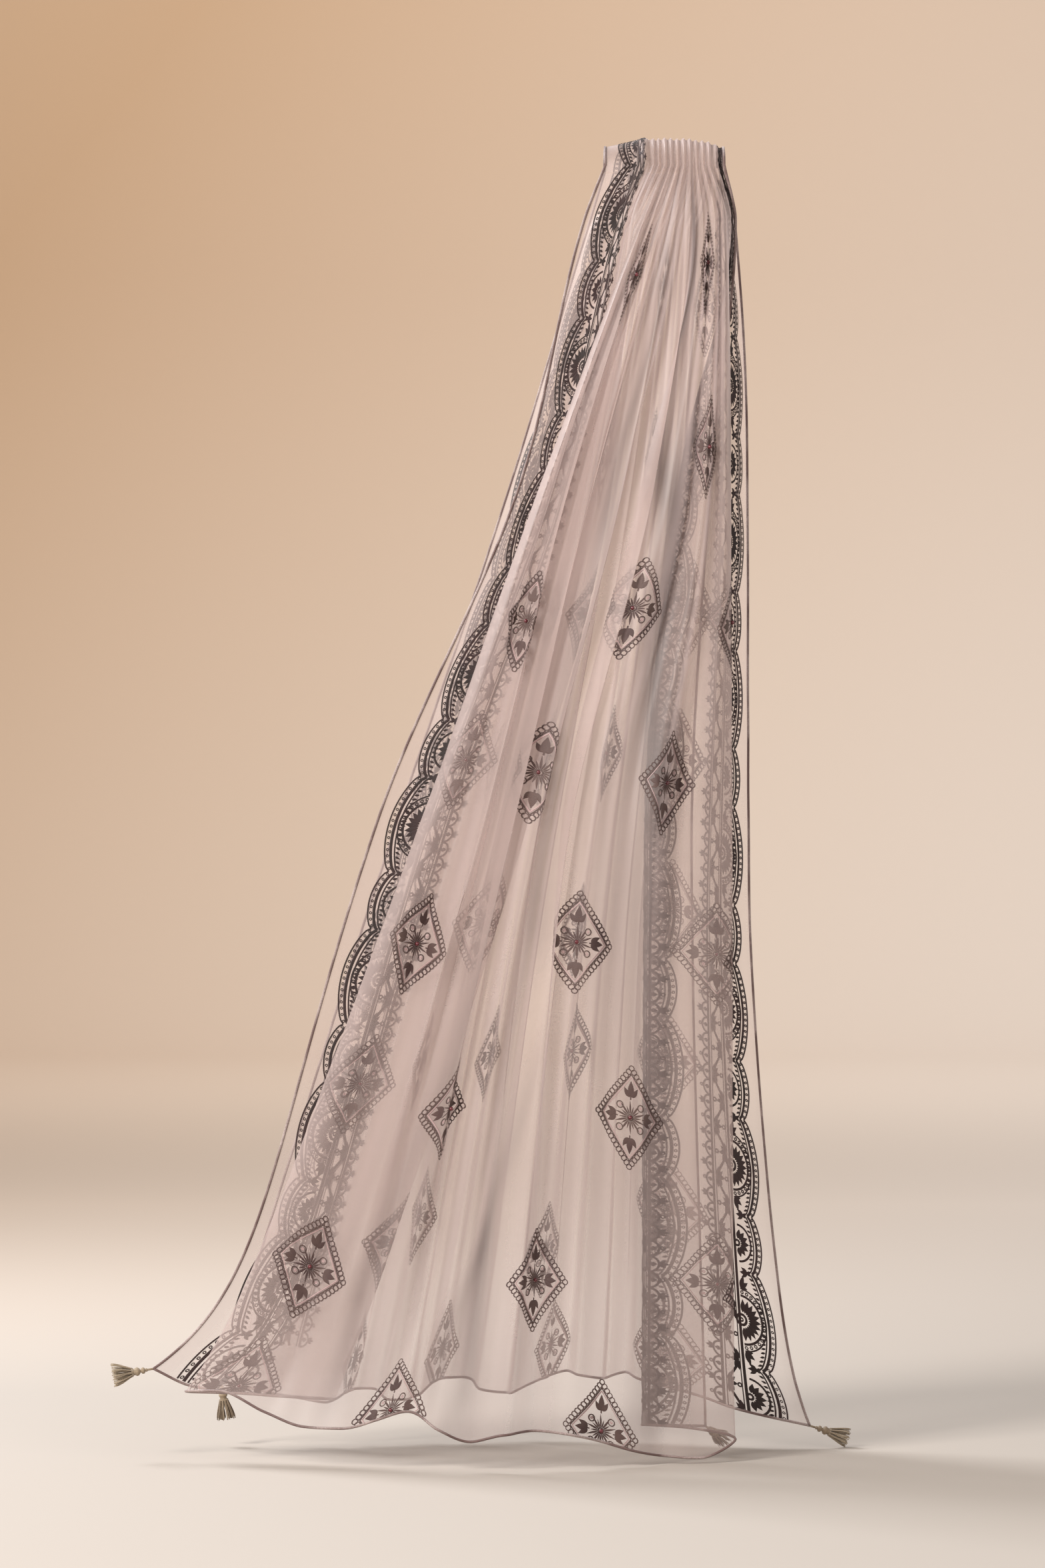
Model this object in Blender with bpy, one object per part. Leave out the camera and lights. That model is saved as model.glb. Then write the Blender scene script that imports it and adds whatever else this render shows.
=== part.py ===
"""Embroidered dupatta stole, caught up at its middle and hanging in two gathered falls.

Metres, +Z up. The origin is the seat of the hold: the underside of the cloth where it passes
over its support. +X runs along the support and the front fall faces -Y.
"""

import math

import bmesh
import bpy
import numpy as np
from mathutils import Matrix, Vector

MM = 0.001

# Cloth
WALL = 1.2 * MM
SEAM_GAP = 0.4 * MM
LEG_QUADS = 3
GRID_HALF = 0.5

# Arch over the support, with gathers crushed unevenly over it and sagging at its sides
ARCH_HALF = 36 * MM
ARCH_RISE = 28 * MM
ARCH_QUADS = 6
HAND_PLEAT = 12 * MM
HAND_UNEVEN = 0.6
HAND_STEP = 2.2
HAND_SAG = 9 * MM
SAG_SHARPNESS = 3
SEAM_Z = HAND_PLEAT / 2 + WALL / 2 - ARCH_RISE

# Folds. One row for each crease across the cloth, from its left edge to its right one, in
# millimetres. "across" is the distance over the flat cloth. "forward" says how far a layer
# stands out, in layer gaps. "hand" is where the crease crosses the support, for both falls.
# "neck", "upper", "knee" and "hem" are where it runs down the front fall, and where a crest lies
# right of the next trough its pleat folds over. "drop" is how low its end hangs and "pull" how
# far the corner drags that end sideways. "share" is its place between the two edges of the back
# fall, and "back_drop" how low it hangs there.
FOLD_COLUMNS = (
    "across", "forward", "hand", "neck", "upper", "knee", "hem", "drop", "pull", "share",
    "back_drop",
)
FOLD_TABLE = (
    (0, 0.00, -60, -80, -136, -275, -425, 1167, -65, 0.000, 1188),
    (40, 0.00, -33, -52, -113, -240, -392, 1184, -60, 0.062, 1196),
    (85, 0.00, -22, -40.5, -88, -202, -360, 1189, -48, 0.130, 1206),
    (130, 0.00, -17.2, -36.5, -66, -166, -338, 1191, -24, 0.186, 1210),
    (175, 0.50, -14, -33.8, -52, -136, -310, 1191, -6, 0.211, 1204),
    (220, 1.00, -11.5, -31.2, -73, -170, -352, 1190, -8, 0.241, 1198),
    (265, 1.00, -9, -28.9, -96, -206, -394, 1188, -14, 0.269, 1201),
    (310, 1.75, -6.2, -26.4, -117, -237, -436, 1186, -22, 0.298, 1209),
    (344, 2.50, -3.2, -23, -110, -222, -408, 1184, -16, 0.318, 1212),
    (378, 2.50, -0.2, -19.5, -106, -204, -374, 1203, -8, 0.350, 1206),
    (412, 2.50, 2.8, -15.5, -92, -181, -341, 1215, -3, 0.372, 1195),
    (445, 2.50, 5.8, -10.8, -95, -176, -309, 1216, 0, 0.408, 1190),
    (478, 2.50, 8.8, -5.8, -70, -150, -276, 1206, 0, 0.432, 1193),
    (512, 2.50, 11.8, 0, -68, -157, -246, 1198, 0, 0.460, 1202),
    (545, 2.50, 14.8, 6, -41, -127, -217, 1214, 0, 0.496, 1208),
    (578, 2.50, 17.8, 13, -44, -128, -188, 1226, 0, 0.518, 1206),
    (612, 2.50, 20.8, 20, -13, -97, -157, 1219, 0, 0.548, 1198),
    (646, 2.50, 23.8, 26, -25, -104, -128, 1217, 0, 0.584, 1190),
    (680, 2.50, 26.8, 32, 4, -74, -98, 1220, 0, 0.606, 1186),
    (714, 2.50, 29.8, 38, 19, -48, -66, 1229, 0, 0.634, 1188),
    (748, 2.50, 32.8, 43.5, 34, -18, -34, 1239, 0, 0.668, 1193),
    (782, 2.50, 35.8, 48.5, 43, 4, -2, 1246, 0, 0.688, 1190),
    (816, 2.50, 38.8, 53, 53, 34, 30, 1248, 0, 0.712, 1186),
    (850, 1.75, 42, 56, 59, 60, 61, 1232, 2, 0.744, 1190),
    (894, 1.00, 45.5, 58.5, 32, 20, 20, 1222, 0, 0.826, 1203),
    (938, 0.50, 49, 61, 10, -24, -26, 1218, 0, 0.906, 1217),
    (1000, 0.00, 53, 64, 40, 22, 35, 1222, 0, 1.000, 1232),
)

# Stations down a fall, as shares of the way from the support to the hem
STATIONS = (0.0, 0.045, 0.25, 0.54, 1.0)
PULL_SHARPNESS = 20
FALL_STEPS = (
    0.0, 0.022, 0.045, 0.085, 0.13, 0.19, 0.26, 0.35, 0.45, 0.55, 0.66, 0.77, 0.86, 0.93, 0.97, 1.0,
)

# Depths of the front fall at the stations, in millimetres
FRONT_CENTRE = (36, 34, 35, 38, 44)
LAYER_GAP = (0, 7.5, 12, 13.5, 15)
FRONT_PLEAT = (12, 13, 21, 24, 17)
HIDDEN_PLEAT = (12, 3, 3, 3, 2)
TOP_LAYER = 2.5

# Edges and depths of the back fall at the stations, in millimetres, how far its right corner
# drags, and how wide the ungathered stretch along each of its edges is
BACK_LEFT = (-60, -76, -148, -262, -432)
BACK_RIGHT = (53, 67, 79, 80, 118)
BACK_CENTRE = (36, 42, 50, 56, 64)
BACK_PLEAT = (12, 15, 28, 34, 29)
BACK_PULL = 21 * MM
BACK_PULL_WIDTH = 0.12
EDGE_FLAT = 140 * MM

# How far the back fall's outer creases lean over at the stations, as a share of their distance
LEAN = (0.0, 0.05, 0.26, 0.32, 0.16)

# The bow of a whole fall away from the support, a slow swing along it, deepest at its hem, and
# how unlike each other neighbouring pleats are, changing on the way down
BOW = 60 * MM
SWING = 8 * MM
SWING_TURNS = 1.3
SWING_START = 1.0
UNEVEN = 0.38
UNEVEN_STEP = 2.4
UNEVEN_DRIFT = 2.0
LEAN_CHANGE = 0.45
LEAN_STEP = 1.9
LEAST_PLEAT = 4 * MM
CREASE_SHARE = 0.96

# Tassels
TASSEL_SIDES = 12
TASSEL_PROFILE = (
    ("cord top", 0.8, 0.0),
    ("cord foot", 0.8, 5.5),
    ("bead top", 1.9, 6.2),
    ("bead middle", 3.1, 8.6),
    ("bead foot", 1.8, 11.2),
    ("head top", 2.9, 12.4),
    ("head middle", 4.2, 15.0),
    ("waist", 3.1, 17.6),
    ("root edge", 4.4, 19.4),
    ("root ring", 2.3, 19.4),
)
STRAND_INSET = 0.22 * MM
STRAND_LENGTH = 19 * MM
STRAND_BEND = 0.45
STRAND_BELLY = 1.75
STRAND_SPREAD = 2.1
STRAND_TAPER = 0.8
TASSEL_GAP = 0.4 * MM
SAME_LEVEL = 0.1 * MM
SAME_POINT = 0.01 * MM

# Where each tassel hangs: its fall, the edge it is on and the way it points
TASSEL_TABLE = (
    ("tassel_front_left", "front", 0.0, (-1.0, -0.12, -0.16)),
    ("tassel_back_left", "back", 0.0, (0.14, 0.05, -1.0)),
    ("tassel_back_right", "back", 1.0, (0.93, 0.10, -0.30)),
    ("tassel_front_right", "front", 1.0, (0.45, 0.75, -0.40)),
)

# Finishes: colour, roughness, metallic
FINISHES = {
    "organza": ((0.52, 0.40, 0.36, 1.0), 0.6, 0.0),
    "tassel_thread": ((0.23, 0.17, 0.10, 1.0), 0.8, 0.0),
}


def clear_scene():
    """Removes whatever the file opened with."""
    for thing in list(bpy.data.objects):
        bpy.data.objects.remove(thing)


def finish(name):
    """The named material, made once."""
    found = bpy.data.materials.get(name)
    if found:
        return found
    colour, roughness, metallic = FINISHES[name]
    made = bpy.data.materials.new(name)
    made.use_nodes = True
    made.diffuse_color = colour
    shader = made.node_tree.nodes["Principled BSDF"]
    shader.inputs["Base Color"].default_value = colour
    shader.inputs["Roughness"].default_value = roughness
    shader.inputs["Metallic"].default_value = metallic
    return made


def smooth(places, values, at):
    """Reads a smooth curve through the values that never swings past them."""
    places = np.asarray(places, float)
    values = np.asarray(values, float)
    run = np.diff(places).reshape((-1,) + (1,) * (values.ndim - 1))
    rise = np.diff(values, axis=0) / run
    slope = np.empty_like(values)
    slope[0] = rise[0]
    slope[-1] = rise[-1]
    before, after = rise[:-1], rise[1:]
    near, far = 2 * run[1:] + run[:-1], run[1:] + 2 * run[:-1]
    same = before * after > 0
    safe_before = np.where(same, before, 1.0)
    safe_after = np.where(same, after, 1.0)
    mean = (near + far) / (near / safe_before + far / safe_after)
    slope[1:-1] = np.where(same, mean, 0.0)
    at = np.atleast_1d(np.asarray(at, float))
    k = np.clip(np.searchsorted(places, at, side="right") - 1, 0, len(places) - 2)
    shape = (-1,) + (1,) * (values.ndim - 1)
    step = (places[k + 1] - places[k]).reshape(shape)
    s = (at - places[k]).reshape(shape) / step
    start = (1 + 2 * s) * (1 - s) ** 2 * values[k] + s * (1 - s) ** 2 * step * slope[k]
    end = s * s * (3 - 2 * s) * values[k + 1] + s * s * (s - 1) * step * slope[k + 1]
    return start + end


FOLDS = dict(zip(FOLD_COLUMNS, np.array(FOLD_TABLE, float).T))
ACROSS = FOLDS["across"] * MM
OUTWARD = np.where(np.arange(len(ACROSS)) % 2 == 0, 1.0, -1.0)
TOP = FOLDS["forward"] >= TOP_LAYER
INNER = (ACROSS > EDGE_FLAT) & (ACROSS < ACROSS[-1] - EDGE_FLAT)


def columns_across():
    """Places across the flat cloth where the walls have points, three from crease to crease."""
    places = [ACROSS[0]]
    for near, far in zip(ACROSS[:-1], ACROSS[1:]):
        places += [near + (far - near) * (i + 1) / LEG_QUADS for i in range(LEG_QUADS)]
    return np.array(places)


def pleat_depth(x, cap, t):
    """How deep each crease stands, from the cloth's width between creases and the room it has."""
    width = np.diff(ACROSS) * CREASE_SHARE
    leg = np.sqrt(np.maximum(width ** 2 - np.diff(x) ** 2, 0.0))
    both = np.concatenate(([leg[0]], (leg[:-1] + leg[1:]) / 2, [leg[-1]]))
    wave = np.sin(UNEVEN_STEP * np.arange(len(x)) + UNEVEN_DRIFT * t)
    room = cap * (1 - t * UNEVEN * (1 + wave) / 2)
    return np.clip(both, np.minimum(LEAST_PLEAT, room), room)


def leaning(x, t):
    """Places of the back fall's creases once each fold leans to one side, some more than others."""
    lean = smooth(STATIONS, LEAN, t)[0] * (1 + LEAN_CHANGE * np.sin(LEAN_STEP * np.arange(len(x))))
    return x + OUTWARD * INNER * lean * np.gradient(x)


def bow(x, t):
    """How far a fall bows out from the support at each of its places, the same for all layers."""
    middle, half = (x.max() + x.min()) / 2, (x.max() - x.min()) / 2
    side = (x - middle) / half
    swing = np.sin(math.pi * SWING_TURNS * side + SWING_START)
    return BOW * t * (1 - side ** 2) ** 2 + SWING * t * t * swing


def front_creases(t):
    """Places of all creases of the front fall at one level."""
    track = np.array([FOLDS[name] for name in ("hand", "neck", "upper", "knee", "hem")])
    x = smooth(STATIONS, track, t)[0] * MM + FOLDS["pull"] * MM * t ** PULL_SHARPNESS
    at = {name: smooth(STATIONS, value, t)[0] * MM for name, value in (
        ("centre", FRONT_CENTRE), ("gap", LAYER_GAP), ("pleat", FRONT_PLEAT), ("hidden", HIDDEN_PLEAT),
    )}
    cap = np.where(TOP, at["pleat"], at["hidden"])
    y = -at["centre"] - FOLDS["forward"] * at["gap"] - bow(x, t)
    y -= OUTWARD * pleat_depth(x, cap, t) / 2
    top = SEAM_Z - SEAM_GAP
    z = top + (-FOLDS["drop"] * MM - top) * t
    return np.stack([x, y, z], axis=1)


def back_creases(t):
    """Places of all creases of the back fall at one level."""
    left, right = (smooth(STATIONS, edge, t)[0] * MM for edge in (BACK_LEFT, BACK_RIGHT))
    neck = STATIONS[1]
    opened = min(t / neck, 1.0)
    hand = FOLDS["hand"] - FOLDS["hand"][0]
    share = hand / hand[-1] * (1 - opened) + FOLDS["share"] * opened
    drawn = np.clip(1 - (1 - share) / BACK_PULL_WIDTH, 0.0, 1.0)
    x = left + (right - left) * share + BACK_PULL * drawn * t ** PULL_SHARPNESS
    x = leaning(x, t)
    centre, pleat = (smooth(STATIONS, value, t)[0] * MM for value in (BACK_CENTRE, BACK_PLEAT))
    y = centre + OUTWARD * pleat_depth(x, np.full(len(x), pleat), t) / 2 + bow(x, t)
    top = SEAM_Z - SEAM_GAP
    z = top + (-FOLDS["back_drop"] * MM - top) * t
    return np.stack([x, y, z], axis=1)


def arch_creases(t):
    """Places of all creases where the cloth passes over the support, from the front to the back."""
    turn = math.pi * (t - 0.5)
    normal = Vector((math.sin(turn) / ARCH_HALF, math.cos(turn) / ARCH_RISE)).normalized()
    over = math.sin(math.pi * t)
    hand = FOLDS["hand"] * MM
    middle, half = (hand[0] + hand[-1]) / 2, (hand[-1] - hand[0]) / 2
    crushed = 1 - HAND_UNEVEN * over * (1 + np.sin(HAND_STEP * np.arange(len(hand)))) / 2
    out = OUTWARD * HAND_PLEAT / 2 * crushed
    y = ARCH_HALF * math.sin(turn) + out * normal.x
    z = SEAM_Z + ARCH_RISE * math.cos(turn) + out * normal.y
    z -= HAND_SAG * over * np.abs((hand - middle) / half) ** SAG_SHARPNESS
    return np.stack([hand, y, z], axis=1)


def level(creases, t, places):
    """Points of the cloth along one level, at those places across it."""
    return smooth(ACROSS, creases(t), places)


def cloth_wall(name, creases, steps):
    """One stretch of the cloth: a grid laid on its creases, then given its wall."""
    places = columns_across()
    bm = bmesh.new()
    last_column, last_row = len(places) - 1, len(steps) - 1
    bmesh.ops.create_grid(bm, x_segments=last_column, y_segments=last_row, size=GRID_HALF)
    grid = [level(creases, t, places) for t in steps]
    for vert in bm.verts:
        column = round((vert.co.x / GRID_HALF + 1) / 2 * last_column)
        row = round((vert.co.y / GRID_HALF + 1) / 2 * last_row)
        vert.co = Vector(grid[row][column])
    for face in bm.faces:
        face.smooth = True
    wall = add_object(name, bm, "organza")
    thick = wall.modifiers.new("wall", "SOLIDIFY")
    thick.thickness = WALL
    thick.offset = 0.0
    return wall


def add_object(name, bm, material):
    """Makes an object of a finished bmesh."""
    mesh = bpy.data.meshes.new(name)
    bm.to_mesh(mesh)
    bm.free()
    mesh.materials.append(finish(material))
    thing = bpy.data.objects.new(name, mesh)
    bpy.context.scene.collection.objects.link(thing)
    return thing


def turned_body(bm):
    """Turns the cord, bead, head and root disc of a tassel about its own axis, pointing down."""
    rim = [bm.verts.new((radius * MM, 0.0, -depth * MM)) for _, radius, depth in TASSEL_PROFILE]
    pole_top = bm.verts.new((0.0, 0.0, -TASSEL_PROFILE[0][2] * MM))
    pole_foot = bm.verts.new((0.0, 0.0, -TASSEL_PROFILE[-1][2] * MM))
    line = [pole_top] + rim + [pole_foot]
    edges = [bm.edges.new(pair) for pair in zip(line[:-1], line[1:])]
    bmesh.ops.spin(
        bm, geom=line + edges, cent=(0, 0, 0), axis=(0, 0, 1), angle=2 * math.pi,
        steps=TASSEL_SIDES, use_merge=True,
    )
    bmesh.ops.remove_doubles(bm, verts=bm.verts, dist=SAME_POINT)
    bmesh.ops.recalc_face_normals(bm, faces=bm.faces)


def draw_strands(bm, faces, share, spread, taper):
    """Draws each strand out by a share of its length, away from the axis by the spread."""
    drawn = bmesh.ops.extrude_discrete_faces(bm, faces=faces)["faces"]
    for face in drawn:
        middle = face.calc_center_median()
        away = Vector((middle.x, middle.y, 0.0)) * (spread - 1.0)
        for vert in face.verts:
            vert.co = middle + (vert.co - middle) * taper + away
            vert.co.z -= STRAND_LENGTH * share
    return drawn


def tassel(name, corner, way):
    """One tassel: strands drawn out of the root disc of its head, then turned to the way it points."""
    bm = bmesh.new()
    turned_body(bm)
    foot = -TASSEL_PROFILE[-1][2] * MM
    roots = [f for f in bm.faces if abs(f.calc_center_median().z - foot) < SAME_LEVEL]
    bmesh.ops.inset_individual(bm, faces=roots, thickness=STRAND_INSET)
    drawn = draw_strands(bm, roots, STRAND_BEND, STRAND_BELLY, 1.0)
    draw_strands(bm, drawn, 1 - STRAND_BEND, STRAND_SPREAD / STRAND_BELLY, STRAND_TAPER)
    way = Vector(way).normalized()
    place = Matrix.Translation(Vector(corner) + way * TASSEL_GAP)
    turn = way.to_track_quat("-Z", "Y").to_matrix().to_4x4()
    bmesh.ops.transform(bm, matrix=place @ turn, verts=bm.verts)
    return add_object(name, bm, "tassel_thread")


def build():
    """Builds the stole: its three stretches of cloth and the tassels at its corners."""
    clear_scene()
    arch_steps = [i / ARCH_QUADS for i in range(ARCH_QUADS + 1)]
    cloth_wall("hand_fold", arch_creases, arch_steps)
    cloth_wall("front_fall", front_creases, FALL_STEPS)
    cloth_wall("back_fall", back_creases, FALL_STEPS)
    falls = {"front": front_creases, "back": back_creases}
    for name, fall, edge, way in TASSEL_TABLE:
        corner = level(falls[fall], 1.0, [ACROSS[0] + edge * (ACROSS[-1] - ACROSS[0])])[0]
        tassel(name, corner, way)


build()
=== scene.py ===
"""Embroidered dupatta stole: the looks of its cloth, embroidery, hems and tassels, laid on the frame."""
import math

import bmesh
import bpy
import numpy as np
from bpy.props import FloatProperty, FloatVectorProperty, IntProperty, PointerProperty
from mathutils import Matrix, Vector


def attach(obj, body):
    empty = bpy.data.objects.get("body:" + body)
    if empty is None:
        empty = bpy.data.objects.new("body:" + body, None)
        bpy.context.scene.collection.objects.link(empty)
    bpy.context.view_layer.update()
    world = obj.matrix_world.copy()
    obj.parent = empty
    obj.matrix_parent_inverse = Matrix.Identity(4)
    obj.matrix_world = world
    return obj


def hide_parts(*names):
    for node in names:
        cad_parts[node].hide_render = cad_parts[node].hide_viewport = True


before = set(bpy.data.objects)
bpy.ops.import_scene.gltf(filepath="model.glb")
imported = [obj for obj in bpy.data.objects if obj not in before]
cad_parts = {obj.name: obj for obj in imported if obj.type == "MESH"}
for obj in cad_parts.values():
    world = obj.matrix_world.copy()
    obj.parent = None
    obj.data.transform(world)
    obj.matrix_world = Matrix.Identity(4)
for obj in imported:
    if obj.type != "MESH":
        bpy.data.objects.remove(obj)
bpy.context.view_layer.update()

bl_info = {
    "name": "Embroidered dupatta stole",
    "version": (1, 0, 0),
    "blender": (4, 5, 0),
    "location": "View3D > Sidebar > Stole",
    "description": "Sheer cloth, thread embroidery, rolled hems and tassels of a hanging stole",
    "category": "Add Mesh",
}

MM = 0.001
BODY = "root"

# Flat cloth: its width, and the lengths of a fall and of the stretch over the support
CLOTH_WIDTH = 1.0
FALL_LENGTH = 1.235
ARCH_LENGTH = 0.100
WALL = 1.2 * MM
SEAM_GAP = 0.4 * MM

# Arch over the support
ARCH_HALF = 36 * MM
ARCH_RISE = 28 * MM
HAND_PLEAT = 12 * MM
HAND_UNEVEN = 0.6
HAND_STEP = 2.2
HAND_SAG = 9 * MM
HAND_SOFT = 0.75
NECK_UNEVEN = 0.5
NECK_END = 0.22
SAG_SHARPNESS = 3
SEAM_Z = HAND_PLEAT / 2 + WALL / 2 - ARCH_RISE
FALL_TOP = SEAM_Z - SEAM_GAP

# Folds, one row for each crease across the cloth, in millimetres, as the frame has them
FOLD_COLUMNS = (
    "across", "forward", "hand", "neck", "upper", "knee", "hem", "drop", "pull", "share",
    "back_drop",
)
FOLD_TABLE = (
    (0, 0.00, -60, -80, -136, -275, -425, 1167, -65, 0.000, 1188),
    (40, 0.00, -33, -52, -113, -240, -392, 1184, -60, 0.062, 1196),
    (85, 0.00, -22, -40.5, -88, -202, -360, 1189, -48, 0.130, 1206),
    (130, 0.00, -17.2, -36.5, -66, -166, -338, 1191, -24, 0.186, 1210),
    (175, 0.50, -14, -33.8, -52, -136, -310, 1191, -6, 0.211, 1204),
    (220, 1.00, -11.5, -31.2, -73, -170, -352, 1190, -8, 0.241, 1198),
    (265, 1.00, -9, -28.9, -96, -206, -394, 1188, -14, 0.269, 1201),
    (310, 1.75, -6.2, -26.4, -117, -237, -436, 1186, -22, 0.298, 1209),
    (344, 2.50, -3.2, -23, -110, -222, -408, 1184, -16, 0.318, 1212),
    (378, 2.50, -0.2, -19.5, -106, -204, -374, 1203, -8, 0.350, 1206),
    (412, 2.50, 2.8, -15.5, -92, -181, -341, 1215, -3, 0.372, 1195),
    (445, 2.50, 5.8, -10.8, -95, -176, -309, 1216, 0, 0.408, 1190),
    (478, 2.50, 8.8, -5.8, -70, -150, -276, 1206, 0, 0.432, 1193),
    (512, 2.50, 11.8, 0, -68, -157, -246, 1198, 0, 0.460, 1202),
    (545, 2.50, 14.8, 6, -41, -127, -217, 1214, 0, 0.496, 1208),
    (578, 2.50, 17.8, 13, -44, -128, -188, 1226, 0, 0.518, 1206),
    (612, 2.50, 20.8, 20, -13, -97, -157, 1219, 0, 0.548, 1198),
    (646, 2.50, 23.8, 26, -25, -104, -128, 1217, 0, 0.584, 1190),
    (680, 2.50, 26.8, 32, 4, -74, -98, 1220, 0, 0.606, 1186),
    (714, 2.50, 29.8, 38, 19, -48, -66, 1229, 0, 0.634, 1188),
    (748, 2.50, 32.8, 43.5, 34, -18, -34, 1239, 0, 0.668, 1193),
    (782, 2.50, 35.8, 48.5, 43, 4, -2, 1246, 0, 0.688, 1190),
    (816, 2.50, 38.8, 53, 53, 34, 30, 1248, 0, 0.712, 1186),
    (850, 1.75, 42, 56, 59, 60, 61, 1232, 2, 0.744, 1190),
    (894, 1.00, 45.5, 58.5, 32, 20, 20, 1222, 0, 0.826, 1203),
    (938, 0.50, 49, 61, 10, -24, -26, 1218, 0, 0.906, 1217),
    (1000, 0.00, 53, 64, 40, 22, 35, 1222, 0, 1.000, 1232),
)

# Stations down a fall, as shares of the way from the support to the hem
STATIONS = (0.0, 0.045, 0.25, 0.54, 1.0)
PULL_SHARPNESS = 20

# Depths of both falls at the stations, in millimetres
FRONT_CENTRE = (36, 34, 35, 38, 44)
LAYER_GAP = (0, 7.5, 12, 13.5, 15)
FRONT_PLEAT = (12, 13, 21, 24, 17)
HIDDEN_PLEAT = (12, 3, 3, 3, 2)
TOP_LAYER = 2.5
EDGE_FLAT = 140 * MM
BACK_LEFT = (-60, -76, -148, -262, -432)
BACK_RIGHT = (53, 67, 79, 80, 118)
BACK_CENTRE = (36, 42, 50, 56, 64)
BACK_PLEAT = (12, 15, 26, 31, 26)
LEAN = (0.0, 0.05, 0.26, 0.32, 0.16)
BACK_PULL = 21 * MM
BACK_PULL_WIDTH = 0.12
BOW = 60 * MM
SWING = 8 * MM
SWING_TURNS = 1.3
SWING_START = 1.0
UNEVEN = 0.38
UNEVEN_STEP = 2.4
UNEVEN_DRIFT = 2.0
LEAN_CHANGE = 0.45
LEAN_STEP = 1.9
LEAST_PLEAT = 4 * MM
CREASE_SHARE = 0.96

# How finely the shells are divided, across and along the cloth, and half the side of the flat
# grids that all shells, tubes and stitches are made from
ACROSS_STEPS = 286
ARCH_STEPS = 36
FALL_STEPS = 264
GRID_HALF = 0.5

# Soft-edged lines laid on the flat cloth: the start and the end of each line as across and
# down, and its width, in millimetres, and how high or strong it is at its middle. Each line wanders
# to the sides, fades in after its start and has faded out a little past its end.
LINE_COLUMNS = ("from_across", "from_down", "to_across", "to_down", "width", "peak")
LINE_WANDER = 7.0
LINE_TURNS = 5.5
LINE_SHIFT = 1.7
LINE_FADE = 0.25
LINE_END = 1.15

# Ridges, with their height in millimetres, and troughs, below zero
CREASES = {
    "front": (
        (360, 120, 372, 1190, 9, 1.8), (398, 60, 420, 900, 7, -1.6), (430, 300, 446, 1235, 12, 2.4),
        (470, 40, 455, 700, 6, 1.8), (500, 420, 522, 1235, 10, -2.2), (540, 100, 528, 860, 7, 1.9),
        (566, 560, 590, 1235, 14, 2.6), (602, 60, 588, 560, 6, -1.6), (628, 480, 616, 1235, 9, 2.1),
        (662, 120, 676, 1000, 8, -2.0), (690, 300, 700, 1235, 12, 2.4), (724, 60, 716, 760, 6, 1.7),
        (760, 380, 772, 1235, 10, -2.2), (800, 100, 796, 1235, 8, 1.8), (60, 200, 30, 1180, 14, 2.0),
        (140, 300, 110, 1190, 12, -1.8), (240, 300, 250, 1180, 12, 1.6), (905, 200, 900, 1200, 12, 1.6),
        (970, 200, 955, 1200, 12, -1.4),
    ),
    "back": (
        (40, 160, 22, 1200, 16, 2.4), (120, 60, 92, 900, 10, -2.0), (190, 300, 205, 1235, 14, 2.6),
        (290, 80, 262, 1000, 9, 2.0), (350, 420, 372, 1235, 13, -2.6), (430, 60, 418, 800, 8, 1.9),
        (512, 380, 488, 1235, 15, 2.8), (590, 100, 606, 1100, 9, -2.1), (668, 300, 650, 1235, 13, 2.5),
        (742, 60, 760, 900, 9, 1.9), (830, 400, 812, 1235, 14, -2.4), (900, 120, 918, 1235, 11, 2.1),
        (968, 300, 984, 1220, 12, 1.8),
    ),
}

# Painted shade in the deep folds, as a share, and painted light on the broad ridges, below zero
PAINTED_SHADE_AND_LIGHT = {
    "front": (
        (616, -20, 674, 330, 15, 0.75), (672, 240, 752, 640, 20, 0.75), (745, 560, 742, 1235, 26, 0.26),
        (560, 420, 600, 760, 13, 0.42), (690, 30, 806, 600, 10, -0.34), (600, 30, 672, 520, 12, -0.36),
        (672, 520, 588, 860, 12, -0.28), (588, 840, 503, 1210, 9, -0.34), (552, 20, 533, 380, 7, 0.46),
        (458, 90, 494, 470, 14, -0.46), (420, 60, 428, 620, 10, 0.26), (614, 820, 534, 1200, 10, 0.38),
        (466, 860, 426, 1210, 16, 0.30), (592, 1000, 545, 1235, 12, 0.26), (500, 400, 470, 900, 13, 0.24),
        (372, 260, 360, 1000, 12, -0.30), (820, 300, 800, 1200, 12, -0.22),
    ),
    "back": (
        (60, 80, 40, 1200, 18, -0.28), (300, 100, 330, 1200, 26, 0.30), (560, 60, 520, 1235, 24, -0.24),
        (700, 200, 730, 1200, 22, 0.28), (880, 60, 900, 1100, 16, -0.20),
    ),
}

# Fine crumple all over the cloth, in millimetres
CRUMPLE_HEIGHT = 0.35
CRUMPLE_START = 120

# Border, in millimetres: the length of one repeat along the edge and its two scallops
REPEAT = 155.0
SMALL_SCALLOP = 58.0
LARGE_SCALLOP = REPEAT - SMALL_SCALLOP
CUSP = 27.0
SMALL_BULGE = 10.0
LARGE_BULGE = 15.0
SCALLOP_POWER = 0.62

# How far the border is shifted along the back fall and along the right edges, in repeats, and how
# far above the hem all embroidery ends
BACK_SHIFT = -0.35
RIGHT_SHIFT = 0.4
HEM_MARGIN = 1.5 * MM

# Places across the border: the middles of its large and small fans, its vine and its bells
LARGE_FAN = 51.0
SMALL_FAN = 50.0
VINE = 63.8
BELL = 75.4
VINE_WAVES = 3
BELLS = 10

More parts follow.
